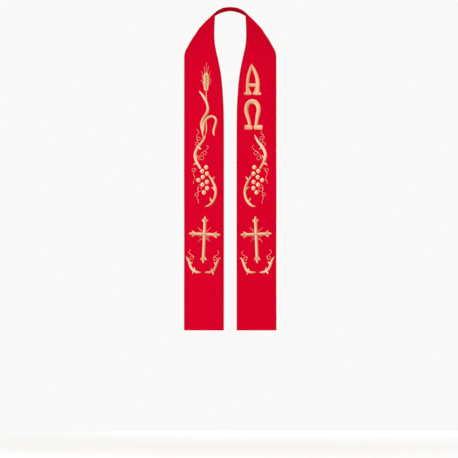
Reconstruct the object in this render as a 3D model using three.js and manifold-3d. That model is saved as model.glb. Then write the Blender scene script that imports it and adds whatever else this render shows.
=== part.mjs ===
// Clerical stole as it hangs on a wearer: a lined band of red cloth that goes round the back of the
// neck, over both shoulders and straight down in front, with padded gold embroidery on both fronts.
//
// Millimetres. +Z is up, the fronts face -Y, and +X is the wearer's left. The origin is the nape:
// the middle of the neck edge at the back, where the wearer's neck holds the stole.

import * as THREE from 'three';
import Module from 'manifold-3d';
import { mergeVertices } from 'three/addons/utils/BufferGeometryUtils.js';

const wasm = await Module();
wasm.setup();

// Driving dimensions of the cloth
const drop = 1136;              // nape to hem, straight down
const panelWidth = 140;         // width of a front
const frontGap = 44;            // between the two fronts
const wall = 2.2;               // face cloth, interlining and lining together
const seamGap = 0.3;            // between the two halves at the centre-back seam
const neckRadius = 56;          // the neck edge, seen from above
const backRadius = 113;         // the outer edge round the back and shoulder, seen from above
const neckDrop = 22;            // from the nape down to the neck edge beside the neck
const backDrop = 12;            // from the nape down to the outer edge at the centre back
const shoulderDrop = 70;        // from there down to the outer edge on the shoulder
const neckCurve = 2.5;          // how late the neck edge starts to fall: 1 at once, more for later
const backCurve = 1.9;          // the same for the outer edge
const chestDepth = 204;         // from the nape forward to the fronts where they hang straight
const wrap = 11;                // how far back a front's outer edge stands behind its inner edge
const shoulderBow = 1;          // how far the middle of the band stands out on back and shoulder
const frontBow = 3;             // the same on a front
const cellsAcross = 8;

// Driving dimensions of the embroidery
const lift = 0.5;               // clearance between the cloth and the embroidery
const pad = 1.1;                // thickness of the padded stitching
const grapeWidth = 15.6;
const grapeHeight = 17.2;
const grapeTop = 0.72;          // a grape's flat top over its foot
const grapeSides = 14;

const clothFinish = { color: 0xd60328, roughness: 0.6, metalness: 0 };
const goldFinish = { color: 0xe2bb7c, roughness: 0.4, metalness: 0.35 };

const inside = frontGap / 2;
const outside = inside + panelWidth;
const centreline = inside + panelWidth / 2;
const hangDepth = wrap - chestDepth;

// One half of the band, from the centre back to the hem. Each station is a straight line across the
// cloth, from a point on the neck edge to a point on the outer edge.
function backStation(degrees) {
  const angle = THREE.MathUtils.degToRad(degrees);
  const [aside, back] = [Math.sin(angle), Math.cos(angle)];
  const neckFall = neckDrop * Math.abs(aside) ** neckCurve;
  const outerFall = backDrop + shoulderDrop * Math.abs(aside) ** backCurve;
  return {
    inner: [neckRadius * aside, neckRadius * (back - 1), -neckFall],
    outer: [backRadius * aside, backRadius * back - neckRadius, -outerFall],
  };
}

// The first station lies on the other half, so that both edges cross the seam squarely.
const stations = [
  ...[-18, 0, 18, 36, 54, 72, 90].map(backStation),
  { inner: [56, -79, -38], outer: [124, -78, -98.5] },
  { inner: [56, -98, -61], outer: [134, -94, -113] },
  { inner: [56, -116, -85.5], outer: [143, -108, -128.5] },
  { inner: [55.6, -131, -109], outer: [151.4, -120, -144] },
  { inner: [53.5, -143, -132.5], outer: [158.5, -130, -157.5] },
  { inner: [49.5, -153, -155], outer: [161.6, -138, -171] },
  { inner: [44, -163, -178], outer: [outside, -148, -188] },
  { inner: [38.5, -171, -204], outer: [outside, -156, -207] },
  { inner: [33, -179, -233], outer: [outside, -165, -233] },
  { inner: [28.2, -188, -273], outer: [outside, -176, -273] },
  { inner: [24.8, -196, -318], outer: [outside, -184.5, -318] },
  { inner: [22.6, -201.5, -365], outer: [outside, -190.5, -365] },
  { inner: [inside, -chestDepth, -433], outer: [outside, hangDepth, -433] },
  { inner: [inside, -chestDepth, -drop], outer: [outside, hangDepth, -drop] },
];
const rowsPerStation = 2;
const rowsToHem = 8;

const spans = stations.length - 1;
const innerEdge = new THREE.CatmullRomCurve3(stations.map((s) => new THREE.Vector3(...s.inner)));
const outerEdge = new THREE.CatmullRomCurve3(stations.map((s) => new THREE.Vector3(...s.outer)));

// Places along the two edges, from the centre back to 1 at the hem, where a row of cells starts.
const rows = [];
for (let row = rowsPerStation; row < (spans - 1) * rowsPerStation; row += 1) {
  rows.push(row / rowsPerStation / spans);
}
for (let row = 0; row <= rowsToHem; row += 1) {
  rows.push((spans - 1 + row / rowsToHem) / spans);
}

// A point in the cloth of the wearer's left half. height is measured from the middle of the wall.
function clothPoint(along, across, height) {
  const inner = innerEdge.getPoint(along);
  const outer = outerEdge.getPoint(along);
  const before = Math.max(along - 1e-3, 0);
  const after = Math.min(along + 1e-3, 1);
  const point = inner.clone().lerp(outer, across);
  const behind = innerEdge.getPoint(before).lerp(outerEdge.getPoint(before), across);
  const ahead = innerEdge.getPoint(after).lerp(outerEdge.getPoint(after), across);
  const normal = outer.sub(inner).cross(behind.sub(ahead)).normalize();
  const front = THREE.MathUtils.smoothstep(-inner.z, 90, 260);
  const bow = THREE.MathUtils.lerp(shoulderBow, frontBow, front);
  return point.addScaledVector(normal, height + bow * 4 * across * (1 - across));
}

// A mesh of its own for one finished piece. A mirrored piece has its faces turned back outwards.
function piece(name, geometry, finish, mirrored) {
  const shape = geometry.clone();
  shape.deleteAttribute('normal');
  shape.deleteAttribute('uv');
  const merged = mergeVertices(shape, 1e-3);
  if (mirrored) {
    merged.setIndex([...merged.index.array].reverse());
  }
  merged.computeVertexNormals();
  const mesh = new THREE.Mesh(merged, new THREE.MeshStandardMaterial(finish));
  mesh.name = name;
  return mesh;
}

// A half of the band: a slab of cells whose corners are carried onto the cloth.
function panel(name, side) {
  const slab = new THREE.BoxGeometry(1, 1, wall, cellsAcross, rows.length - 1, 1);
  const position = slab.attributes.position;
  for (let i = 0; i < position.count; i += 1) {
    const row = Math.round((0.5 - position.getY(i)) * (rows.length - 1));
    const point = clothPoint(rows[row], position.getX(i) + 0.5, position.getZ(i));
    if (row === 0) {
      point.x = seamGap / 2;
    }
    position.setXYZ(i, side * point.x, point.y, point.z);
  }
  return piece(name, slab, clothFinish, side < 0);
}

const panels = { left: panel('panel_left', 1), right: panel('panel_right', -1) };

// Embroidery is drawn flat first. x runs from the front's centreline towards the middle of the
// body, y up from the hem, and z up from the cloth, so that both fronts share one drawing.
//
// A stroke follows points of [x, y, half its width].
function stroke(points, stepsPerSpan = 2) {
  const pointSpans = points.length - 1;
  const spine = new THREE.CatmullRomCurve3(points.map(([x, y]) => new THREE.Vector3(x, y, 0)));
  const ribbon = new THREE.BoxGeometry(1, 1, pad, 1, pointSpans * stepsPerSpan, 1);
  const position = ribbon.attributes.position;
  for (let i = 0; i < position.count; i += 1) {
    const along = THREE.MathUtils.clamp(position.getY(i) + 0.5, 0, 1);
    const span = Math.min(Math.floor(along * pointSpans), pointSpans - 1);
    const [from, to] = [points[span][2], points[span + 1][2]];
    const halfWidth = THREE.MathUtils.lerp(from, to, along * pointSpans - span);
    const across = 2 * position.getX(i) * halfWidth;
    const point = spine.getPoint(along);
    const tangent = spine.getTangent(along);
    const z = position.getZ(i) + pad / 2;
    position.setXYZ(i, point.x + tangent.y * across, point.y - tangent.x * across, z);
  }
  return ribbon;
}

function solid(geometry) {
  const shape = geometry.clone();
  shape.deleteAttribute('normal');
  shape.deleteAttribute('uv');
  const merged = mergeVertices(shape, 1e-3);
  const mesh = new wasm.Mesh({
    numProp: 3,
    vertProperties: new Float32Array(merged.attributes.position.array),
    triVerts: new Uint32Array(merged.index.array),
  });
  return new wasm.Manifold(mesh);
}

// Strokes that grow out of each other become one padded shape.
function join(strokes) {
  const mesh = strokes.map(solid).reduce((whole, part) => whole.add(part)).getMesh();
  const geometry = new THREE.BufferGeometry();
  geometry.setAttribute('position', new THREE.BufferAttribute(mesh.vertProperties, 3));
  geometry.setIndex(new THREE.BufferAttribute(mesh.triVerts, 1));
  return geometry;
}

// A flat drawing laid on a front: each corner goes straight back to the cloth under it, and then
// out along the cloth's own direction there.
const ray = new THREE.Raycaster();
const backwards = new THREE.Vector3(0, 1, 0);

function laid(name, flat, sideName) {
  const side = sideName === 'left' ? 1 : -1;
  const shape = flat.clone();
  const position = shape.attributes.position;
  for (let i = 0; i < position.count; i += 1) {
    const x = side * (centreline - position.getX(i));
    ray.set(new THREE.Vector3(x, -2 * chestDepth, position.getY(i) - drop), backwards);
    const [hit] = ray.intersectObject(panels[sideName]);
    const point = hit.point.addScaledVector(hit.normal, lift + position.getZ(i));
    position.setXYZ(i, point.x, point.y, point.z);
  }
  return piece(name, shape, goldFinish, side > 0);
}

// Ear of wheat with its stalk, and the leaves below it
const wheatEar = join([
  stroke([[7.3, 906, 2.6], [7.5, 893, 8.2], [7.7, 878, 10.3], [7.8, 862, 9], [7.9, 847, 5.5], [8, 835, 2.4]]),
  stroke([[8, 838, 1.4], [8.3, 826, 1.4], [8.5, 816.5, 1.4]]),
]);
const wheatLeaves = join([
  stroke([
    [-17, 839.5, 0.8], [-10.5, 831, 3.4], [-1, 818, 4.3], [7.2, 803, 4.2], [12.8, 787, 4], [13.5, 771, 4.8],
    [7.5, 757, 4.8], [-1.5, 744, 4.6], [-7.6, 729, 4.4], [-8.6, 714, 4], [-5.2, 697, 3.6], [-3.2, 678, 2.2],
  ]),
  stroke([
    [-1.8, 706, 3.6], [-1, 720, 4], [4, 733, 4.6], [13, 744, 4.6], [24, 749, 4.2], [34, 748, 3.6],
    [41, 740.5, 3.4], [42.4, 731, 3.6], [39, 717, 4], [34.8, 702, 4.2], [34, 691, 3.4], [37, 680.5, 0.8],
  ]),
  stroke([[6.5, 733, 1.6], [8.4, 722, 1.9], [9, 708, 2], [8.4, 696, 1.8], [6.4, 687.5, 1.6]]),
]);

// The two letters of the Greek alphabet's ends, in plain slab strokes
const alpha = join([
  stroke([[16.6, 935, 0.8], [21.5, 917, 5.4], [28, 893, 6.2], [31.6, 868, 6], [32, 846, 5.8], [31, 828, 7]]),
  stroke([[16.8, 933, 0.8], [9.5, 914, 6], [0.4, 892, 7], [-4.2, 867, 7.6], [-3.6, 846, 7.4], [-3, 828, 8]]),
  stroke([[30, 859, 7], [14, 859, 6.6], [-2, 859, 7]]),
  stroke([[29.4, 851, 2.6], [22, 829, 4.6]]),
  stroke([[1.8, 851, 2.6], [7.7, 829, 4.4]]),
  stroke([[43.6, 829, 5], [30, 829, 5.6], [17.2, 829, 4.6]]),
  stroke([[12.8, 829, 4.6], [-1, 829, 5.6], [-15.6, 829, 5]]),
]);
const omega = join([
  stroke([
    [24, 714, 5.6], [26.8, 734, 6.2], [33.4, 755, 7.6], [36.2, 774, 8], [32.6, 790, 8.6], [25, 799, 9],
    [15.3, 802, 9.4], [5.4, 799, 9], [-3, 790, 8.6], [-7.2, 774, 8], [-4, 755, 7.6], [0, 734, 6.2],
    [2.6, 714, 5.6],
  ]),
  stroke([[42, 710.5, 9], [28, 711, 9.6], [15.2, 709.5, 7.4]]),
  stroke([[9.8, 709.5, 7.4], [-4, 711, 9.6], [-20, 710.5, 9]]),
]);

// Vine: its stem is pointed at the top where nothing grows into it
const vineStem = [
  [-7.5, 658, 4.4], [-18, 645.5, 5], [-27, 630, 5], [-31.2, 614, 5], [-29, 599.5, 4.6],
  [-23.6, 587, 4.2], [-17, 575.5, 3.8], [-11.8, 566.5, 3.6],
];
const vineTip = [[7.4, 686, 0.7], [1.8, 673, 3]];
const vineFoot = [[5.2, 685.5, 1.8], [1.2, 673.5, 4]];
const vineSpurs = [
  stroke([[-21, 643, 4], [-15.5, 638, 3.4], [-9.4, 633.5, 0.7]]),
  stroke([[-28, 598, 3], [-24, 607, 2.6], [-19.5, 614.3, 0.8]]),
  stroke([[-17.5, 577, 3.2], [-23, 583, 3.4], [-31, 583.6, 3], [-37.5, 577.2, 0.8]]),
];

// Cane that curls round under the grapes
const cane = join([
  stroke([
    [17.6, 542.4, 3], [23.5, 533.5, 3.6], [30, 522.5, 4.2], [35.8, 510, 4.6], [40, 497, 4.8], [41.4, 482, 4.6],
    [39, 467.5, 4.4], [33.4, 454.5, 4.6], [25.4, 444, 4.8], [15.5, 436.6, 3.6], [3, 433.5, 0.7],
  ]),
  stroke([[28.5, 526, 3.2], [33.5, 532.5, 2.8], [38.5, 539.4, 0.7]]),
  stroke([[39, 491, 4], [33, 497.8, 3], [25.3, 500.9, 0.7]]),
  stroke([[29.5, 451, 3.6], [23.8, 457.5, 3], [21, 465.4, 0.8]]),
]);

const grapes = [
  [8, 571], [-6.2, 558], [10.8, 549], [-4, 536.6], [-19.6, 526], [10.6, 520], [-5.2, 510], [11.2, 498], [0.4, 483],
];

function grape([x, y]) {
  const bead = new THREE.CylinderGeometry(grapeTop / 2, 0.5, pad, grapeSides, 1);
  bead.rotateX(Math.PI / 2);
  bead.scale(grapeWidth, grapeHeight, 1);
  bead.translate(x, y, pad / 2);
  return bead;
}

// Cross: each arm ends in a point with a barb on either side. Reach is the arm's length.
const armEnd = [[0, 0.7], [8, 4.4], [14, 11.2], [17.5, 8.4], [22, 5.4], [28, 4.6]];

function crossBar(from, to) {
  const bar = new THREE.Vector2(to[0] - from[0], to[1] - from[1]);
  const length = bar.length();
  const places = [
    ...armEnd,
    [length / 2, 4.4],
    ...armEnd.map(([reach, halfWidth]) => [length - reach, halfWidth]).reverse(),
  ];
  const points = places.map(([reach, halfWidth]) => [
    from[0] + bar.x * reach / length,
    from[1] + bar.y * reach / length,
    halfWidth,
  ]);
  return stroke(points, 1);
}

const cross = join([crossBar([4.4, 400.5], [-2.4, 234.5]), crossBar([-53.8, 339], [57.4, 334])]);

// Two scrolls that meet below the cross, like the arms of an anchor
const outerScroll = join([
  stroke([
    [-62.5, 258.8, 0.8], [-55.5, 248.5, 3.8], [-49.8, 235, 4.8], [-46, 223, 4.6], [-38.6, 211.5, 4.8],
    [-28, 205.2, 4.8], [-18, 203.4, 3.6], [-10, 203.4, 0.7],
  ]),
  stroke([[-32, 207, 5], [-33, 214, 3.4], [-34, 222.4, 0.7]]),
  stroke([[-33, 209, 4], [-37, 203.6, 3.4], [-40.8, 197.5, 0.8]]),
  stroke([[-47.5, 230, 3.6], [-43.6, 236, 2.8], [-39, 241.6, 1]]),
]);
const innerScroll = join([
  stroke([
    [59, 254.4, 0.8], [51.4, 249.4, 3.4], [46, 237, 4.4], [41, 223.5, 4.6], [35, 211.5, 4.6], [25, 204.6, 4.8],
    [13, 203.4, 3.6], [2, 203.9, 0.7],
  ]),
  stroke([[27, 206.5, 5], [28, 212, 3.4], [28.8, 218.4, 0.7]]),
  stroke([[28, 208.5, 4], [31.6, 201, 3.2], [34.4, 194.2, 0.8]]),
  stroke([[42.6, 229, 3.4], [39, 234.6, 2.6], [35, 239.8, 1]]),
]);

const stole = new THREE.Group();
stole.add(panels.left, panels.right);
stole.add(laid('wheat_ear', wheatEar, 'right'));
stole.add(laid('wheat_leaves', wheatLeaves, 'right'));
stole.add(laid('letter_alpha', alpha, 'left'));
stole.add(laid('letter_omega', omega, 'left'));
const vines = {
  left: join([stroke([...vineTip, ...vineStem]), ...vineSpurs]),
  right: join([stroke([...vineFoot, ...vineStem]), ...vineSpurs]),
};
for (const side of ['left', 'right']) {
  stole.add(laid(`vine_${side}`, vines[side], side));
  stole.add(laid(`cane_${side}`, cane, side));
  stole.add(laid(`cross_${side}`, cross, side));
  stole.add(laid(`scroll_outer_${side}`, outerScroll, side));
  stole.add(laid(`scroll_inner_${side}`, innerScroll, side));
  grapes.forEach((place, index) => {
    stole.add(laid(`grape_${side}_${index + 1}`, grape(place), side));
  });
}

export default stole;
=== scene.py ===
import math

import bmesh
import bpy
import numpy as np
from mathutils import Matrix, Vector
from mathutils.bvhtree import BVHTree


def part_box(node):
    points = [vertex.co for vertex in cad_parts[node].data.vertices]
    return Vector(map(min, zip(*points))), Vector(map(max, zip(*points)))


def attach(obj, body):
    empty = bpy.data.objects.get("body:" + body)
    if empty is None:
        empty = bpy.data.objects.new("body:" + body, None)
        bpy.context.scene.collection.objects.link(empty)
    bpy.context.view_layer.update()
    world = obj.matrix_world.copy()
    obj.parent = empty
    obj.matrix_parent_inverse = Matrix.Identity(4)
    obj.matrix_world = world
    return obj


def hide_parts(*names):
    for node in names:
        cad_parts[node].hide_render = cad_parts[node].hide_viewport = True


# A priest's stole: a lined band of red cloth with padded gold embroidery on both fronts, hanging as
# it is worn. Metres, +Z up, the fronts face -Y and +X is the wearer's left. The nape is the origin.

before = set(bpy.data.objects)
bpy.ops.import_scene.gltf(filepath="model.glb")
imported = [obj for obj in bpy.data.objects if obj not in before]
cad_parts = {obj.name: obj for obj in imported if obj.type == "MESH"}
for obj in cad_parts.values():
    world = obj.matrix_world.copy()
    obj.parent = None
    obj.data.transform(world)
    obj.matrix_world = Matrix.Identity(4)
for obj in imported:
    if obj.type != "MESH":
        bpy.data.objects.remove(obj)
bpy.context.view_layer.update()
mm = 0.001
sides = {"Left": 1, "Right": -1}


def deselectAll():
    for thing in bpy.context.selected_objects:
        thing.select_set(False)


def pick(thing):
    deselectAll()
    thing.select_set(True)
    bpy.context.view_layer.objects.active = thing


def applied(thing, kind, **settings):  # adds a modifier and applies it at once
    pick(thing)
    modifier = thing.modifiers.new(kind.lower(), kind)
    for name, value in settings.items():
        setattr(modifier, name, value)
    bpy.ops.object.modifier_apply(modifier=modifier.name)


deselectAll()

# where it is seen from, and the light

camera = {
    "distance": 40.0,                      # a long lens, level with the middle of the view
    "aim": (-0.0044, -0.204, -0.781),
    "viewWidth": 1.603,                    # how much the frame takes in at the fronts
}
stage = {
    "floorHeight": -1.553,                 # the nape of a wearer of about 1.8 m, up from the floor
    "floorWidth": 7.0,
    "floorColour": (0.93, 0.928, 0.922, 1),
    "floorShade": 0.985,                   # the darker of the floor's faint clouds
    "floorGrain": 14.0,
    "skyColour": (1.0, 0.995, 0.99, 1),
    "skyStrength": 0.95,
    "lampsFace": (0, -0.1, -0.6),
    "lamps": {                             # place, size, watts
        "key": ((-2.2, -3.4, -0.7), 1.6, 38.0),
        "fill": ((2.4, -3.0, -1.2), 2.4, 24.0),
        "back": ((0.8, 3.4, -1.0), 2.4, 12.0),
    },
}


def makeCamera():
    data = bpy.data.cameras.new("camera")
    data.lens = data.sensor_width * camera["distance"] / camera["viewWidth"]
    data.clip_end = 200
    eye = bpy.data.objects.new("camera", data)
    eye.location = Vector(camera["aim"]) - Vector((0, camera["distance"], 0))
    eye.rotation_euler = (math.pi / 2, 0, 0)
    bpy.context.scene.collection.objects.link(eye)
    bpy.context.scene.camera = eye


def makeLamps():
    for name, (place, size, watts) in stage["lamps"].items():
        data = bpy.data.lights.new(name, "AREA")
        data.shape = "DISK"
        data.size = size
        data.energy = watts
        lamp = bpy.data.objects.new(name, data)
        lamp.location = place
        toward = Vector(stage["lampsFace"]) - lamp.location
        lamp.rotation_euler = toward.to_track_quat("-Z", "Y").to_euler()
        bpy.context.scene.collection.objects.link(lamp)
    world = bpy.data.worlds.new("studio")
    bpy.context.scene.world = world
    world.use_nodes = True
    sky = world.node_tree.nodes["Background"]
    sky.inputs["Color"].default_value = stage["skyColour"]
    sky.inputs["Strength"].default_value = stage["skyStrength"]


makeCamera()
makeLamps()
bpy.context.scene.view_settings.view_transform = "Standard"
print("camera and lamps placed")

# shader maths


class Wire:  # a socket that takes arithmetic
    def __init__(self, tree, socket=None):
        self.tree = tree
        self.socket = socket

    def node(self, kind, settings, values, output=0):
        made = self.tree.nodes.new("ShaderNode" + kind)
        for name, value in settings.items():
            if name == "stops":
                for at, colour in value[1:-1]:
                    made.color_ramp.elements.new(at).color = colour
                for end, (at, colour) in ((0, value[0]), (-1, value[-1])):
                    made.color_ramp.elements[end].position = at
                    made.color_ramp.elements[end].color = colour
            else:
                setattr(made, name, value)
        for name, value in values.items():
            if isinstance(value, Wire):
                self.tree.links.new(value.socket, made.inputs[name])
            else:
                made.inputs[name].default_value = value
        return Wire(self.tree, made.outputs[output])

    def maths(self, operation, *terms):
        return self.node("Math", {"operation": operation}, dict(enumerate(terms)))

    def __add__(self, other):
        return self.maths("ADD", self, other)

    def __sub__(self, other):
        return self.maths("SUBTRACT", self, other)

    def __rsub__(self, other):
        return self.maths("SUBTRACT", other, self)

    def __mul__(self, other):
        return self.maths("MULTIPLY", self, other)

    def __truediv__(self, other):
        return self.maths("DIVIDE", self, other)

    __radd__ = __add__
    __rmul__ = __mul__

    def wave(self, length):  # 0 to 1 and back over each length
        return self.maths("SINE", self * (2 * math.pi / length)) * 0.5 + 0.5

    def mound(self, middle, reach):  # 1 at the middle, 0 from reach away
        away = self.maths("ABSOLUTE", self - middle) / reach
        return self.maths("MAXIMUM", 1 - away, 0.0)

    def tinted(self, first, second):  # this wire mixes two colours
        return self.node("Mix", {"data_type": "RGBA"}, {0: self, 6: first, 7: second}, 2)


def newMaterial(name, constants):
    material = bpy.data.materials.new(name)
    material.use_nodes = True
    shader = material.node_tree.nodes["Principled BSDF"]
    for socket, value in constants.items():
        shader.inputs[socket].default_value = value
    return material, shader, Wire(material.node_tree)


def feed(shader, start, **wires):
    for socket, wire in wires.items():
        start.tree.links.new(wire.socket, shader.inputs[socket.replace("_", " ")])


# red cloth

redCloth = {
    "colour": (0.582, 0.0004, 0.0188, 1),
    "worn": (0.558, 0.0004, 0.0172, 1),     # faint clouds of a slightly duller red
    "edge": (0.36, 0.0008, 0.018, 1),       # painted shade where the cloth turns in at its edges and over the pressed line
    "inside": (0.46, 0.0006, 0.0160, 1),    # the side that lies on the wearer, a darker red as painted shade
    "insideWorn": (0.43, 0.0006, 0.0145, 1),
    "yarn": 0.7 * mm,                       # from one yarn to the next
    "edgeReach": 8 * mm,
    "allowance": (14 * mm, 2.5 * mm, 0.16),  # the turning's end under the face: place, half width, and the strength of painted shade there
    "turnedShade": 0.8,
    "cloudScale": 9.0,
    "slubScale": 900.0,
    "bump": (0.45, 0.12 * mm),
    "constants": {
        "Specular IOR Level": 0.0,
        "Sheen Weight": 0.04,
        "Sheen Roughness": 0.4,
        "Sheen Tint": (0.9, 0.0, 0.03, 1),
    },
}


def makeRedCloth(name, plain, worn):
    c = redCloth
    material, shader, start = newMaterial(name, c["constants"])
    place = start.node("UVMap", {"uv_map": "cloth"}, {})
    across = start.node("SeparateXYZ", {}, {0: place}, 0)
    along = start.node("SeparateXYZ", {}, {0: place}, 1)
    fromEdge = start.node("Attribute", {"attribute_name": "fromEdge"}, {}, "Fac")
    flat = {"noise_dimensions": "2D"}
    clouds = start.node("TexNoise", flat, {"Vector": place, "Scale": c["cloudScale"], "Detail": 3.0})
    slubs = start.node("TexNoise", flat, {"Vector": place, "Scale": c["slubScale"], "Detail": 2.0})
    weave = across.wave(c["yarn"]) * along.wave(c["yarn"])
    colour = (clouds * 1.4 - 0.4 + (1 - weave) * 0.5 + slubs * 0.4).tinted(plain, worn)
    end, halfWidth, shade = c["allowance"]
    # darker near each edge and along the pressed line: painted shade where the cloth rolls and sinks
    paintedEdgeShade = fromEdge.mound(0.0, c["edgeReach"]) + fromEdge.mound(end, halfWidth) * shade
    colour = (paintedEdgeShade * c["turnedShade"]).tinted(colour, c["edge"])
    height = weave * 0.6 + slubs * 0.6
    strength, depth = c["bump"]
    bump = start.node("Bump", {}, {"Strength": strength, "Distance": depth, "Height": height})
    feed(shader, start, Base_Color=colour, Roughness=slubs * 0.14 + 0.76, Normal=bump)
    return material


# gold thread

goldThread = {
    "stops": [                               # from a stitch turned from the light to one that faces it
        (0.0, (0.32, 0.18, 0.072, 1)),
        (0.35, (0.56, 0.30, 0.145, 1)),
        (0.68, (0.86, 0.46, 0.275, 1)),
        (1.0, (1.0, 0.71, 0.54, 1)),
    ],
    "stitch": 0.8 * mm,                      # from one ridge of thread to the next
    "slant": 0.7,                            # how far the stitches lean back from the ridge
    "strandScale": 900.0,
    "bump": (0.5, 0.2 * mm),
    "constants": {"Metallic": 0.35, "Specular IOR Level": 0.2},
}


def makeGoldThread():
    c = goldThread
    material, shader, start = newMaterial("goldThread", c["constants"])
    place = start.node("UVMap", {"uv_map": "thread"}, {})
    across = start.node("SeparateXYZ", {}, {0: place}, 0)
    along = start.node("SeparateXYZ", {}, {0: place}, 1)
    # painted light: each stroke's brightness from how it lies to the light, baked in as an attribute
    lustre = start.node("Attribute", {"attribute_name": "lustre"}, {}, "Fac")
    stitches = along + start.maths("ABSOLUTE", across) * c["slant"]
    ridge = stitches.wave(c["stitch"])
    line = {"noise_dimensions": "1D"}
    strand = start.node("TexNoise", line, {"W": stitches * c["strandScale"], "Scale": 1.0, "Detail": 1.0})
    # the baked painted light, a random tone for each strand, and a painted highlight on each stitch's ridge
    tone = lustre + (strand - 0.5) * 0.24 + (ridge - 0.5) * 0.1
    colour = start.node("ValToRGB", {"stops": c["stops"]}, {"Fac": tone})
    strength, depth = c["bump"]
    height = ridge + strand * 0.5
    bump = start.node("Bump", {}, {"Strength": strength, "Distance": depth, "Height": height})
    feed(shader, start, Base_Color=colour, Roughness=0.52 - ridge * 0.14, Normal=bump)
    return material


def makeFloor():
    bpy.ops.mesh.primitive_circle_add(
        vertices=96, radius=stage["floorWidth"] / 2, fill_type="NGON", location=(0, 0, stage["floorHeight"]))
    floor = bpy.context.object
    floor.name = "floor"
    material, shader, start = newMaterial("paleFloor", {"Roughness": 0.9, "Specular IOR Level": 0.1})
    place = start.node("TexCoord", {}, {}, "Object")
    grain = start.node("TexNoise", {}, {"Vector": place, "Scale": stage["floorGrain"], "Detail": 3.0})
    pale = stage["floorColour"]
    shaded = tuple(v * stage["floorShade"] for v in pale[:3]) + (1,)
    feed(shader, start, Base_Color=grain.tinted(pale, shaded))
    floor.data.materials.append(material)
    deselectAll()


makeFloor()
redClothMaterial = makeRedCloth("redCloth", redCloth["colour"], redCloth["worn"])
# the inside is a darker copy of the red cloth, as painted shade
redInsideShadedMaterial = makeRedCloth("redInsideShaded", redCloth["inside"], redCloth["insideWorn"])
goldThreadMaterial = makeGoldThread()
print("materials mixed")

# the two halves of the band

band = {
    "wall": 2.0 * mm,                        # face cloth, interlining and lining
    "shortestCell": 4 * mm,                  # a face with a shorter edge belongs to the rim of the solid
    "outward": (0, -0.6, 0.8),               # roughly away from the wearer, everywhere on the band
    "fineness": 3,
    "edgeRoll": (9 * mm, 1.1 * mm),          # reach and depth of the soft turned edge
    "allowance": (14 * mm, 3.2 * mm, 0.22 * mm),   # place, half width and depth of the pressed line
    "hangWaves": (1.3 * mm, 0.46, 2.2),      # depth, length and slant of the slow waves down a front
    "wavesGrow": (0.3, 0.5),                 # where they start along the band, and over what length
    "waveStart": {"Left": 0.9, "Right": 2.1},
    "rimRound": 0.9 * mm,
    "hug": (0.150, 52 * mm, 60 * mm, 2.5 * mm),    # beside the neck: place, reach along and across, pull
    "sewn": 0.02 * mm,                       # each half's distance from the centre-back seam
    "flat": (0.14, 1.275),                   # the cut of one half
    "flatArea": 0.158,
    # creases: from (across, along) to (across, along), half width, depth; + stands out, - sinks
    "creases": [
        ((0.004, 0.020), (0.034, 0.034), 7 * mm, -0.9 * mm),
        ((0.003, 0.056), (0.040, 0.066), 8 * mm, -1.1 * mm),
        ((0.010, 0.044), (0.052, 0.048), 9 * mm, 0.8 * mm),
        ((0.030, 0.098), (0.066, 0.070), 10 * mm, -0.8 * mm),
        ((0.060, 0.160), (0.100, 0.118), 12 * mm, 0.6 * mm),
        ((0.020, 0.235), (0.072, 0.330), 14 * mm, -0.4 * mm),
        ((0.112, 0.470), (0.100, 0.660), 14 * mm, 0.5 * mm),
        ((0.040, 1.020), (0.034, 1.290), 16 * mm, 0.9 * mm),
        ((0.100, 1.080), (0.108, 1.290), 15 * mm, -0.8 * mm),
    ],
}


def rowsOf(node):  # the outer face of the solid, as rows of points across it from centre back to hem
    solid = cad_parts[node]
    cells = bmesh.new()
    cells.from_mesh(solid.data)
    cells.transform(solid.matrix_world)
    bmesh.ops.remove_doubles(cells, verts=cells.verts, dist=0.05 * mm)
    outward = Vector(band["outward"])
    unwanted = []
    for face in cells.faces:
        shortest = min(edge.calc_length() for edge in face.edges)
        if shortest < band["shortestCell"] or face.normal.dot(outward) < 0:
            unwanted.append(face)
    bmesh.ops.delete(cells, geom=unwanted, context="FACES")
    row = sorted((v for v in cells.verts if abs(v.co.x) < 0.5 * mm), key=lambda v: v.co.y)
    rows, seen = [], set()
    while row:
        rows.append([tuple(v.co) for v in row])
        seen.update(row)
        row = nextRow(row, seen)
    cells.free()
    rows = np.array(rows)
    rows[0, :, 0] = np.sign(rows[1, 0, 0]) * band["sewn"]  # the other half is sewn on here
    return rows


def nextRow(row, seen):  # along the edge first, and then each point is joined to the one before it
    found = []
    for v in row:
        for edge in v.link_edges:
            w = edge.other_vert(v)
            beside = found and any(e.other_vert(w) is found[-1] for e in w.link_edges)
            joined = beside if found else edge.is_boundary
            if w not in seen and w not in found and joined:
                found.append(w)
                break
        else:
            return []
    return found


def clothSheet(name, rows):  # one layer of four-sided cells, and how far across and along each point is
    count, wide = rows.shape[:2]
    across = np.zeros((count, wide))
    across[:, 1:] = np.cumsum(np.linalg.norm(np.diff(rows, axis=1), axis=2), axis=1)
    middle = rows[:, wide // 2]
    along = np.concatenate([[0], np.cumsum(np.linalg.norm(np.diff(middle, axis=0), axis=1))])
    corners = [i * wide + j for i in range(count - 1) for j in range(wide - 1)]
    polygons = [(k, k + 1, k + 1 + wide, k + wide) for k in corners]
    mesh = bpy.data.meshes.new(name)
    mesh.from_pydata(rows.reshape(-1, 3).tolist(), [], polygons)
    if mesh.polygons[0].normal.dot(Vector(band["outward"])) < 0:
        mesh.flip_normals()
    flat = np.stack([across, np.repeat(along[:, None], wide, axis=1)], axis=2).reshape(-1, 2)
    layer = mesh.uv_layers.new(name="cloth")
    layer.data.foreach_set("uv", flat[[loop.vertex_index for loop in mesh.loops]].ravel())
    sheet = bpy.data.objects.new(name, mesh)
    bpy.context.scene.collection.objects.link(sheet)
    return sheet, along, across[:, -1]


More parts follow.
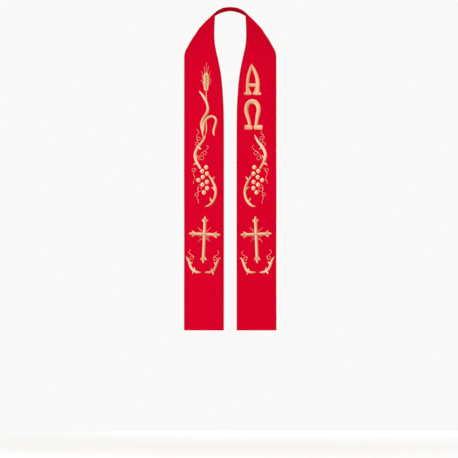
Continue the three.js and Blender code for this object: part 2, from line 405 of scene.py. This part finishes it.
def flatPlaces(sheet):  # each point's across and along, read back from the UV map
    corners = np.array([loop.vertex_index for loop in sheet.data.loops])
    found = np.zeros(len(corners) * 2)
    sheet.data.uv_layers["cloth"].data.foreach_get("uv", found)
    flat = np.zeros((len(sheet.data.vertices), 2))
    flat[corners] = found.reshape(-1, 2)
    return flat[:, 0], flat[:, 1]


def creaseHeight(across, along):
    height = np.zeros(len(across))
    for start, end, halfWidth, depth in band["creases"]:
        run = np.array(end) - np.array(start)
        offset = np.stack([across - start[0], along - start[1]], axis=1)
        share = offset @ run / (run @ run)
        aside = np.linalg.norm(offset - np.clip(share, 0, 1)[:, None] * run, axis=1)
        fade = np.sin(math.pi * np.clip(share, 0.12, 1)) ** 0.5
        height += depth * np.exp(-(aside / halfWidth) ** 2) * fade
    return height


def shapeCloth(sheet, alongRows, widths, sideName):  # creases, slow waves and soft edges
    across, along = flatPlaces(sheet)
    width = np.interp(along, alongRows, widths)
    fromEdge = np.clip(np.minimum(across, width - across), 0, None)
    depth, length, slant = band["hangWaves"]
    begin, grow = band["wavesGrow"]
    hanging = np.clip((along - begin) / grow, 0, 1)
    phase = 2 * math.pi * along / length + band["waveStart"][sideName] + slant * across / width
    waves = np.sin(phase) * depth * hanging
    reach, roll = band["edgeRoll"]
    rolled = -roll * (1 - np.clip(fromEdge / reach, 0, 1)) ** 2
    place, halfWidth, sink = band["allowance"]
    pressed = -sink * np.exp(-((fromEdge - place) / halfWidth) ** 2)
    height = creaseHeight(across, along) + waves + rolled + pressed
    normals = np.array([v.normal for v in sheet.data.vertices])
    moved = np.array([v.co for v in sheet.data.vertices]) + normals * height[:, None]
    place, reachAlong, reachAcross, pull = band["hug"]
    near = np.clip(1 - across / reachAcross, 0, 1)
    pulled = pull * near ** 2 * (3 - 2 * near) * np.exp(-((along - place) / reachAlong) ** 2)
    moved[:, 0] -= sides[sideName] * pulled
    sheet.data.vertices.foreach_set("co", moved.ravel())
    edge = sheet.data.attributes.new("fromEdge", "FLOAT", "POINT")
    edge.data.foreach_set("value", fromEdge.astype(np.float32))
    sheet.data.update()


def makeHalf(sideName):
    node = "panel_" + sideName.lower()
    half, alongRows, widths = clothSheet("half" + sideName, rowsOf(node))
    applied(
        half, "SUBSURF", levels=band["fineness"], render_levels=band["fineness"],
        boundary_smooth="PRESERVE_CORNERS")
    shapeCloth(half, alongRows, widths, sideName)
    face = BVHTree.FromPolygons(
        [v.co.copy() for v in half.data.vertices], [tuple(p.vertices) for p in half.data.polygons])
    half.data.materials.append(redClothMaterial)
    # the inner faces of the wall take the darker copy: painted shade
    half.data.materials.append(redInsideShadedMaterial)
    applied(
        half, "SOLIDIFY", thickness=band["wall"], offset=-1, use_even_offset=True, use_rim=True,
        material_offset=1)
    applied(
        half, "BEVEL", width=band["rimRound"], segments=3, limit_method="ANGLE",
        angle_limit=math.radians(50))
    pick(half)
    bpy.ops.object.shade_smooth()
    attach(half, "root")
    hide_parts(node)
    print("cloth half", sideName, len(half.data.polygons), "faces, along", round(alongRows[-1], 4))
    return half, face


halves = {}
faces = {}
for sideName in sides:
    halves[sideName], faces[sideName] = makeHalf(sideName)

# laying stitches on a front

# Motifs are drawn flat in millimetres: x from the front's centreline towards the middle of the body,
# y up from the hem. Both fronts share one drawing, so it turns over by itself on the other front.
front = {
    "hem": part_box("panel_left")[0].z,
    "halfWidth": 70 * mm,                    # a front is 140 mm wide where it hangs straight
    "outer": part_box("panel_left")[1].x,
    "lightFrom": (-0.7, 0.7),                # seen from the front: up and to the left
}
stitching = {
    "step": 1.3,                             # mm along a stroke
    "cellsAcross": 10,
    "underside": 0.04,
    "foot": 0.3,                             # height of a stroke's edge
    "fullRise": 1.5,
    "risePerWidth": 0.55,
    "ridge": 0.45,                           # 0 is a round stroke, 1 a sharp roof
    "blunt": 1.3,                            # how soon a stroke comes up to its height from its end
    "endRise": 0.25,                         # the share of its height that it has at the very end
    "ground": 0.3,                           # painted light before anything is added
    "tone": 0.0,
    "grain": 0.46,                           # how much brighter where the stitches lie across the light
    "slope": 0.36,                           # how much brighter on the side that faces the light
    "slim": 1.0,                             # scales the drawn half widths
    "lean": 0.0,                             # how much brighter for each mm towards the outer edge,
    "leanFrom": 14,                          # counted from here
    "footShade": 0.1,
    "paintedShadeAlong": [],                              # (mm from the nearer end, reach, depth) of painted shade along a stroke
}
threadLook = {"cellsAcross": 4, "ridge": 0, "tone": 0.3}     # awns, tendrils and rays


def onFront(sideName, points):  # flat points pressed back on to the cloth, z out along its normal
    middle = front["outer"] - front["halfWidth"]
    placed = np.zeros((len(points), 3))
    for i, (x, y, z) in enumerate(points):
        start = Vector((sides[sideName] * (middle - x * mm), -1, front["hem"] + y * mm))
        hit, normal, *_ = faces[sideName].ray_cast(start, Vector((0, 1, 0)))
        placed[i] = hit + normal * (z * mm * (1 if normal.y < 0 else -1))
    return placed


def smoothPath(points, step):  # a smooth line through [x, y, half width]
    given = np.array(points, float)
    padded = np.vstack([2 * given[0] - given[1], given, 2 * given[-1] - given[-2]])
    samples = []
    for i in range(len(given) - 1):
        a, b, c, d = padded[i:i + 4]
        count = max(2, math.ceil(np.linalg.norm((c - b)[:2]) / step))
        for t in np.arange(count) / count:
            bend = (2 * a - 5 * b + 4 * c - d) * t ** 2 + (3 * b - a - 3 * c + d) * t ** 3
            at = 0.5 * (2 * b + (c - a) * t + bend)
            at[2] = b[2] + (c[2] - b[2]) * (3 * t ** 2 - 2 * t ** 3)
            samples.append(at)
    return np.array(samples + [given[-1]])


def strokeMesh(points, sideName, look):  # one satin stroke: a domed top, upright edges, a flat underside
    s = {**stitching, **look}
    path = smoothPath(points, s["step"])
    spine, halfWidth = path[:, :2], path[:, 2] * s["slim"]
    tangent = np.gradient(spine, axis=0)
    tangent /= np.linalg.norm(tangent, axis=1)[:, None]
    aside = np.stack([tangent[:, 1], -tangent[:, 0]], axis=1)
    length = np.concatenate([[0], np.cumsum(np.linalg.norm(np.diff(spine, axis=0), axis=1))])
    cells = s["cellsAcross"]
    t = -np.cos(np.arange(cells + 1) * math.pi / cells)
    dome = (1 - s["ridge"]) * np.sqrt(1 - t ** 2) + s["ridge"] * (1 - np.abs(t))
    rise = np.minimum(s["fullRise"], s["risePerWidth"] * halfWidth)
    nearEnd = np.minimum(length, length[-1] - length)
    fromEnd = np.clip(nearEnd / s["blunt"], 0, 1)
    rise = rise * (s["endRise"] + (1 - s["endRise"]) * np.sqrt(1 - (1 - fromEnd) ** 2))
    top = np.zeros((len(path), cells + 1, 3))
    top[:, :, :2] = spine[:, None] + aside[:, None] * (t[None, :] * halfWidth[:, None])[:, :, None]
    top[:, :, 2] = s["foot"] + rise[:, None] * dome[None, :]
    under = top[:, [0, -1]].copy()
    under[:, :, 2] = s["underside"]
    flatPoints = np.concatenate([top.reshape(-1, 3), under.reshape(-1, 3)])
    rows, wide = len(path), cells + 1
    base = rows * wide
    polygons = []
    for i in range(rows - 1):
        for j in range(cells):
            k = i * wide + j
            polygons.append((k, k + 1, k + wide + 1, k + wide))
        low = base + 2 * i
        left, right = i * wide, i * wide + cells
        polygons.append((low, left, left + wide, low + 2))
        polygons.append((right, low + 1, low + 3, right + wide))
        polygons.append((low + 1, low, low + 2, low + 3))
    last = (rows - 1) * wide
    polygons.append((base, base + 1) + tuple(range(cells, -1, -1)))
    polygons.append((base + 2 * rows - 1, base + 2 * rows - 2) + tuple(range(last, last + wide)))
    # where a stitch lies across the light it is bright, and the slope that faces the light is brighter
    light = np.array(front["lightFrom"]) * (-sides[sideName], 1)
    lie = 1 - (aside @ light) ** 2
    slope = (aside @ light)[:, None] * np.sin(t * math.pi / 2)[None, :]
    tone = s["ground"] + s["tone"] + s["grain"] * lie - s["lean"] * (spine[:, 0] - s["leanFrom"])
    # painted shade at given places along the stroke
    for place, reach, depth in s["paintedShadeAlong"]:
        tone -= depth * np.exp(-((nearEnd - place) / reach) ** 2)
    lustre = np.clip(tone[:, None] + s["slope"] * slope, 0, 1)
    lustre = np.concatenate([lustre.ravel(), lustre[:, [0, -1]].ravel() - s["footShade"]])
    thread = np.zeros((rows, wide, 2))
    thread[:, :, 0] = t[None, :] * halfWidth[:, None]
    thread[:, :, 1] = length[:, None]
    thread = np.concatenate([thread.reshape(-1, 2), thread[:, [0, -1]].reshape(-1, 2)]) * mm
    return flatPoints, polygons, lustre, thread


def makePiece(name, sideName, parts, replaces=()):  # parts are (flat points, polygons, painted light, thread)
    points, polygons, lustre, thread = [], [], [], []
    for flat, faceList, tone, uv in parts:
        polygons += [tuple(k + sum(map(len, points)) for k in face) for face in faceList]
        points.append(onFront(sideName, flat))
        lustre.append(tone)
        thread.append(uv)
    mesh = bpy.data.meshes.new(name)
    mesh.from_pydata(np.concatenate(points).tolist(), [], polygons)
    if sides[sideName] < 0:
        mesh.flip_normals()
    tone = mesh.attributes.new("lustre", "FLOAT", "POINT")
    tone.data.foreach_set("value", np.concatenate(lustre).astype(np.float32))
    layer = mesh.uv_layers.new(name="thread")
    corners = np.array([loop.vertex_index for loop in mesh.loops])
    layer.data.foreach_set("uv", np.concatenate(thread)[corners].ravel())
    mesh.shade_smooth()
    mesh.validate()
    piece = bpy.data.objects.new(name, mesh)
    bpy.context.scene.collection.objects.link(piece)
    mesh.materials.append(goldThreadMaterial)
    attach(piece, "root")
    if replaces:
        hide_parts(*replaces)
    onHalf[sideName].append(piece)
    return piece


def strokes(name, sideName, drawn, replaces=(), **look):
    return makePiece(name, sideName, [strokeMesh(points, sideName, look) for points in drawn], replaces)


onHalf = {"Left": [], "Right": []}

# ear of wheat, and its leaves

wheat = {
    "axis": 7.8,                             # the ear's own middle line
    "pairs": [(837, 6.2), (847, 8.6), (857, 9.8), (867, 10.2), (877, 9.4)],   # foot of a pair, how far out
    "grain": [(0, 0, 0.5), (0.26, 3.6, 2.2), (0.6, 8.2, 3.1), (0.8, 12.8, 2.4), (0.84, 17, 0.4)],
    "crown": [(887, 4.4), (890, 0)],         # the grains at the top
    "crownGrain": [(-2.6, 0, 0.6), (0, 6, 2.7), (0, 12, 2.2), (0, 17, 0.4)],
    "stalk": [[8, 838, 1.3], [8.3, 822, 1.4], [9.4, 802, 1.1]],
    "awns": [
        [(9.1, 940), (8.4, 904)], [(1, 927), (3.5, 900)], [(16.1, 927), (12, 900)],
        [(-8.1, 908), (-1.5, 890)], [(23.4, 908), (16.8, 890)], [(24.1, 888), (17, 872)],
        [(-9.8, 877), (-1.5, 862)], [(26.9, 879), (19, 862)], [(-7.6, 893), (-1.5, 877)],
    ],
    "awnHalfWidth": 0.42,
    "body": [                                # a low stroke between the grains, dark as painted shade
        [7.8, 903, 1.4], [7.8, 893, 4.8], [7.8, 878, 6.6], [7.8, 862, 5.8], [7.8, 847, 3.6], [8, 837, 1.2],
    ],
    "bodyLook": {"fullRise": 0.5, "ridge": 0, "tone": -0.42},
    "grainLook": {
        # the grains are darker at their ends: painted shade
        "ridge": 0.3, "tone": 0.3, "grain": 0.12, "slope": 0.3, "slim": 0.96, "paintedShadeAlong": [(0, 3.5, 0.4)],
    },
    "longLeaf": [
        [-17, 839.5, 0.6], [-10.5, 831, 3.2], [-1, 818, 4.2], [7.2, 803, 4.1], [12.6, 787, 3.9],
        [13.5, 771, 4.7], [7.5, 757, 4.8], [-1.5, 744, 4.6], [-7.6, 729, 4.4], [-8.6, 714, 4],
        [-5.2, 697, 3.4], [-3.2, 678, 1.6],
    ],
    "bentLeaf": [
        [-3.2, 690, 1.4], [-1.8, 706, 3.6], [-1, 720, 4], [4, 733, 4.6], [13, 744, 4.6], [24, 749, 4.1],
        [34, 748, 3.4], [41, 740.5, 3.3], [42.4, 731, 3.6], [39, 717, 4], [34.8, 702, 4.1], [34, 691, 3.2],
        [37, 680.5, 0.5],
    ],
    "thinStem": [[6.5, 735, 1.2], [8.4, 722, 1.8], [9, 708, 1.9], [8.4, 696, 1.7], [6.4, 687.5, 1.2]],
    "leafLook": {"tone": 0.06, "slim": 0.96},
}


def makeWheat():
    w = wheat
    grains = [w["stalk"]]
    for foot, out in w["pairs"]:
        for way in (-1, 1):
            x, reach = w["axis"] + way * 0.7, way * out
            grains.append([[x + reach * share, foot + up, half] for share, up, half in w["grain"]])
    for foot, out in w["crown"]:
        for way in ((-1, 1) if out else (0,)):
            x = w["axis"] + way * out
            grains.append([[x + way * share, foot + up, half] for share, up, half in w["crownGrain"]])
    parts = [strokeMesh(w["body"], "Right", w["bodyLook"])]
    parts += [strokeMesh(points, "Right", w["grainLook"]) for points in grains]
    makePiece("wheatEar", "Right", parts, ["wheat_ear"])
    leaves = [w["longLeaf"], w["thinStem"], w["bentLeaf"]]
    strokes("wheatLeaves", "Right", leaves, ["wheat_leaves"], **w["leafLook"])
    awns = [[[*tip, 0.3], [*foot, w["awnHalfWidth"]]] for tip, foot in w["awns"]]
    strokes("wheatAwns", "Right", awns, **threadLook)


makeWheat()
print("wheat stitched")

# the first and last Greek letters

letters = {
    "alpha": [
        [[16.6, 935, 0.8], [21.5, 917, 5.4], [28, 893, 6.2], [31.6, 868, 6], [32, 846, 5.8], [31, 828, 7]],
        [[16.8, 933, 0.8], [9.5, 914, 6], [0.4, 892, 7], [-4.2, 867, 7.6], [-3.6, 846, 7.4], [-3, 828, 8]],
        [[30, 859, 7], [14, 859, 6.6], [-2, 859, 7]],
        [[29.4, 851, 2.6], [22, 829, 4.6]],
        [[1.8, 851, 2.6], [7.7, 829, 4.4]],
        [[43.6, 829, 5], [30, 829, 5.6], [17.2, 829, 4.6]],
        [[12.8, 829, 4.6], [-1, 829, 5.6], [-15.6, 829, 5]],
    ],
    "omega": [
        [
            [24, 714, 5.6], [26.8, 734, 6.2], [33.4, 755, 7.6], [36.2, 774, 8], [32.6, 790, 8.6],
            [25, 799, 9], [15.3, 802, 9.4], [5.4, 799, 9], [-3, 790, 8.6], [-7.2, 774, 8],
            [-4, 755, 7.6], [0, 734, 6.2], [2.6, 714, 5.6],
        ],
        [[42, 710.5, 9], [28, 711, 9.6], [15.2, 709.5, 7.4]],
        [[9.8, 709.5, 7.4], [-4, 711, 9.6], [-20, 710.5, 9]],
    ],
}
letterLook = {
    "ridge": 0.1, "fullRise": 1.0, "blunt": 1.6, "tone": 0.13, "grain": 0.18, "slope": 0.28, "slim": 0.83,
    "lean": 0.004,
}
strokes("letterAlpha", "Left", letters["alpha"], ["letter_alpha"], **letterLook)
strokes("letterOmega", "Left", letters["omega"], ["letter_omega"], **letterLook)
print("letters stitched")

# vine, cane and tendrils

vine = {
    "stem": [
        [-7.5, 658, 4.4], [-18, 645.5, 5], [-27, 630, 5], [-31.2, 614, 5], [-29, 599.5, 4.6],
        [-23.6, 587, 4.2], [-17, 575.5, 3.8], [-11.8, 566.5, 3.4],
    ],
    "top": {                                 # pointed on one front, growing out of the leaves on the other
        "Left": [[7.4, 686, 0.6], [1.8, 673, 3]],
        "Right": [[5.2, 685.5, 1.4], [1.2, 673.5, 3.8]],
    },
    "spurs": [
        [[-23, 644.5, 4.6], [-15.5, 638, 3.8], [-9.4, 633.5, 0.6]],
        [[-28, 598, 3.2], [-24, 607, 2.8], [-19.5, 614.3, 0.6]],
        [[-17.5, 577, 3.2], [-23, 583, 3.6], [-31, 583.6, 3.1], [-37.5, 577.2, 0.6]],
    ],
    "cane": [
        [
            [17.6, 542.4, 2.6], [23.5, 533.5, 3.5], [30, 522.5, 4.2], [35.8, 510, 4.6], [40, 497, 4.8],
            [41.4, 482, 4.6], [39, 467.5, 4.4], [33.4, 454.5, 4.6], [25.4, 444, 4.8],
            [15.5, 436.6, 3.6], [3, 433.5, 0.6],
        ],
        [[28.5, 526, 3.4], [33.5, 532.5, 3], [38.5, 539.4, 0.6]],
        [[39, 491, 4.4], [33, 497.8, 3.3], [25.3, 500.9, 0.6]],
        [[29.5, 451, 3.8], [23.8, 457.5, 3.2], [21, 465.4, 0.6]],
    ],
    "look": {"tone": 0.08, "slim": 0.96},
    "caneLook": {"tone": 0.0, "slim": 0.87},
}
tendrils = {
    "halfWidth": 0.37,
    "upper": {                               # runs, then curls of (middle, radius)
        "Left": (
            [[(-16.6, 700), (-16.2, 690.5), (-22.9, 683), (-26.4, 673), (-19, 662.5), (-24.6, 658)]],
            [((-16.6, 673), 5.5), ((-24.6, 652), 6.6)],
        ),
        "Right": (
            [[(-25.2, 706), (-18.2, 692), (-25.2, 681), (-22.5, 666), (-26.6, 657)]],
            [((-18.6, 671), 6.0), ((-24.2, 652), 6.0)],
        ),
    },
    "runs": [
        [(9, 649), (15, 641), (5.5, 630), (-7.7, 621), (-14.4, 611), (-19, 596.5)],
        [(-25.2, 568), (-33, 556), (-37.5, 551), (-32.6, 536), (-31.9, 528.5), (-37.5, 520), (-36.1, 513)],
        [
            (-14.4, 512), (-20.7, 504), (-22.4, 495), (-20.7, 486.5), (-20.7, 472), (-23.5, 463.5),
            (-20.7, 456), (-18.6, 445),
        ],
        [(-46.6, 283.5), (-51.8, 274), (-47.6, 267), (-38.5, 262), (-36.1, 254.8), (-42.7, 246.4)],
        [(46.7, 279.3), (51.8, 272.3), (46.7, 263.9), (37.4, 259.7), (33.2, 252.7), (37.4, 244.3)],
    ],
    "curls": [
        ((2.8, 620.5), 6.3), ((-7.5, 604), 6.8), ((-35.7, 562), 5.5), ((-14.4, 493.5), 7.0),
        ((-25.9, 476), 5.5), ((-42.7, 254.8), 5.8), ((39, 251.6), 5.8),
    ],
}


def curl(middle, radius):  # a ring, closed in twelve steps
    turns = [math.radians(30 * k) for k in range(13)]
    return [(middle[0] + radius * math.cos(a), middle[1] + radius * math.sin(a)) for a in turns]


def makeVine(sideName):
    node = sideName.lower()
    stem = vine["top"][sideName] + vine["stem"]
    strokes("vine" + sideName, sideName, [stem, *vine["spurs"]], ["vine_" + node], **vine["look"])
    strokes("cane" + sideName, sideName, vine["cane"], ["cane_" + node], **vine["caneLook"])
    runs, curls = tendrils["upper"][sideName]
    lines = [*runs, *tendrils["runs"], *(curl(*c) for c in [*curls, *tendrils["curls"]])]
    threads = [[[x, y, tendrils["halfWidth"]] for x, y in line] for line in lines]
    strokes("tendrils" + sideName, sideName, threads, **threadLook)


# grapes

grapes = {
    "width": 13.9,
    "height": 15.4,
    "rise": 2.3,                             # mm from the cloth to the crown
    "segments": 28,
    "rings": 14,
    "eye": (1.4, -1.6),                      # mm from the middle to where the stitches meet, down and right
    "dimple": (0.55, 0.16),                  # its depth in mm, and its reach as a share of the bead
    "lustre": (0.72, 0.34, 0.75, 0.3),       # ground, slope towards the light, painted shade in the eye and its reach
    "thread": (7.5, 5.0),                    # mm of thread from eye to rim, and for each radian round it
    "places": [
        (8, 571), (-6.2, 558), (10.8, 549), (-4, 536.6), (-19.6, 526), (10.6, 520), (-5.2, 510),
        (11.2, 498), (0.4, 483),
    ],
}


def grapeBead():  # modelled once: a bead with a flat foot and a dimple where its stitches meet
    g = grapes
    bpy.ops.mesh.primitive_uv_sphere_add(segments=g["segments"], ring_count=g["rings"], radius=0.5)
    bead = bpy.context.object
    bpy.ops.object.mode_set(mode="EDIT")
    bpy.ops.mesh.select_all(action="SELECT")
    bpy.ops.mesh.bisect(plane_co=(0, 0, 0.001), plane_no=(0, 0, 1), clear_inner=True)
    bpy.ops.mesh.select_all(action="SELECT")
    bpy.ops.transform.resize(value=(g["width"], g["height"], 2 * (g["rise"] - stitching["foot"])))
    bpy.ops.mesh.select_all(action="DESELECT")
    cells = bmesh.from_edit_mesh(bead.data)
    for edge in cells.edges:
        edge.select_set(edge.is_boundary)
    bpy.ops.mesh.extrude_region_move(
        TRANSFORM_OT_translate={"value": (0, 0, stitching["underside"] - stitching["foot"])})
    bpy.ops.mesh.edge_face_add()
    bpy.ops.object.mode_set(mode="OBJECT")
    points = np.array([v.co for v in bead.data.vertices])
    across = points[:, 0] / (g["width"] / 2)
    up = points[:, 1] / (g["height"] / 2)
    fromMiddle = np.hypot(across, up)
    depth, reach = g["dimple"]
    dimple = depth * np.exp(-(fromMiddle / reach) ** 2)
    points[:, 2] += stitching["foot"] - dimple * (points[:, 2] > 0.5)
    crown = np.clip(1 - fromMiddle, 0, 1)[:, None]
    shift = np.zeros_like(points)
    shift[:, :2] = g["eye"]
    polygons = [tuple(p.vertices) for p in bead.data.polygons]
    bpy.data.objects.remove(bead)
    return points, shift * crown, polygons, across, up, fromMiddle


def makeGrapes(sideName):
    points, shift, polygons, across, up, fromMiddle = bead
    flip = -sides[sideName]                  # the eye is down and right on both fronts
    placed = points + shift * (flip, 1, 1)
    light = np.array(front["lightFrom"]) * (flip, 1)
    slope = across * light[0] + up * light[1]
    ground, lit, dark, reach = grapes["lustre"]
    eye = np.exp(-(fromMiddle / reach) ** 2)
    # painted light over the bead, with painted shade in its eye
    lustre = np.clip(ground + lit * slope - dark * eye, 0, 1)
    outward, around = grapes["thread"]
    thread = np.stack([fromMiddle * outward, np.arctan2(up, across) * around], axis=1) * mm
    for number, (x, y) in enumerate(grapes["places"], 1):
        name = f"grape{sideName}{number}"
        part = (placed + (x, y, 0), polygons, lustre, thread)
        makePiece(name, sideName, [part], [f"grape_{sideName.lower()}_{number}"])


bead = grapeBead()

# cross, its rays, and the scrolls below

cross = {
    "bars": [((4.4, 400.5), (-2.4, 234.5)), ((-53.8, 339), (57.4, 334))],
    "bar": [(0, 0.5), (7, 3.8), (13, 5.6), (20, 5.1), (30, 4.7)],    # (reach from the tip, half width)
    "look": {"ridge": 0.7, "slope": 0.5, "tone": -0.02},
    # painted shade where the barbs meet each bar, and where the bars cross
    "tipsShade": (16, 6, 0.3),
    "crossingShade": (55.6, 6, 0.4),
    "barb": [                                # (reach from the tip, aside, half width)
        (24, 1.5, 2.2), (18.5, 5.0, 3.0), (14.6, 8.2, 2.4), (12.6, 11.4, 0.5),
    ],
    "rays": [
        [(-20.6, 361.5), (-9.6, 348)], [(23.4, 361), (12, 347.5)], [(-20.4, 310), (-9.6, 322)],
        [(20.4, 310), (11, 324)], [(-8.2, 353), (-4.4, 342)], [(12.4, 352), (7.4, 342)],
        [(-6.8, 317), (-4, 328)], [(8.8, 317), (5.8, 327)], [(-20, 344.6), (-8, 340)],
        [(22, 341.6), (11, 338.6)], [(-18, 328), (-8, 331.6)], [(18, 326), (9, 330)],
    ],
    "rayHalfWidth": 0.45,
}
scrolls = {
    "outer": [
        [
            [-62.5, 258.8, 0.6], [-55.5, 248.5, 3.6], [-49.8, 235, 4.6], [-46, 223, 4.5],
            [-38.6, 211.5, 4.7], [-28, 205.2, 4.7], [-18, 203.4, 3.4], [-10, 203.4, 0.6],
        ],
        [[-32, 207, 4], [-33, 214, 3.2], [-34, 222.4, 0.6]],
        [[-33, 209, 3.6], [-37, 203.6, 3.2], [-40.8, 197.5, 0.6]],
        [[-47.5, 230, 3], [-43.6, 236, 2.7], [-39, 241.6, 0.8]],
    ],
    "inner": [
        [
            [59, 254.4, 0.6], [51.4, 249.4, 3.2], [46, 237, 4.3], [41, 223.5, 4.5], [35, 211.5, 4.5],
            [25, 204.6, 4.7], [13, 203.4, 3.4], [2, 203.9, 0.6],
        ],
        [[27, 206.5, 4], [28, 212, 3.2], [28.8, 218.4, 0.6]],
        [[28, 208.5, 3.6], [31.6, 201, 3], [34.4, 194.2, 0.6]],
        [[42.6, 229, 3], [39, 234.6, 2.5], [35, 239.8, 0.8]],
    ],
    "tone": {"outerLeft": 0.18, "innerLeft": -0.02, "outerRight": 0.05, "innerRight": -0.1},
    "slim": 0.87,
}


def crossBar(start, end):
    start, end = np.array(start), np.array(end)
    length = np.linalg.norm(end - start)
    way = (end - start) / length
    aside = np.array([way[1], -way[0]])
    places = [*cross["bar"], *((length - reach, half) for reach, half in reversed(cross["bar"]))]
    drawn = [[[*(start + way * reach), half] for reach, half in places]]
    for tip, inward in ((start, way), (end, -way)):
        for hand in (-1, 1):
            barb = [(tip + inward * reach + aside * hand * out, half) for reach, out, half in cross["barb"]]
            drawn.append([[*place, half] for place, half in barb])
    return drawn


def makeCross(sideName):
    upright, beam = (crossBar(*ends) for ends in cross["bars"])
    look, tips = cross["look"], cross["tipsShade"]
    parts = [strokeMesh(points, sideName, look) for points in (*upright[1:], *beam[1:])]
    parts.append(strokeMesh(upright[0], sideName, {**look, "paintedShadeAlong": [tips]}))
    parts.append(strokeMesh(beam[0], sideName, {**look, "paintedShadeAlong": [tips, cross["crossingShade"]]}))
    makePiece("cross" + sideName, sideName, parts, ["cross_" + sideName.lower()])
    rays = [[[*tip, 0.3], [*foot, cross["rayHalfWidth"]]] for tip, foot in cross["rays"]]
    strokes("rays" + sideName, sideName, rays, **threadLook)
    for place in ("outer", "inner"):
        tone = scrolls["tone"][place + sideName]
        name = "scroll" + place.capitalize() + sideName
        node = f"scroll_{place}_{sideName.lower()}"
        strokes(name, sideName, scrolls[place], [node], tone=tone, slim=scrolls["slim"])


for sideName in sides:
    makeVine(sideName)
    makeGrapes(sideName)
    makeCross(sideName)
    print("front stitched", sideName)

# nothing left selected

deselectAll()
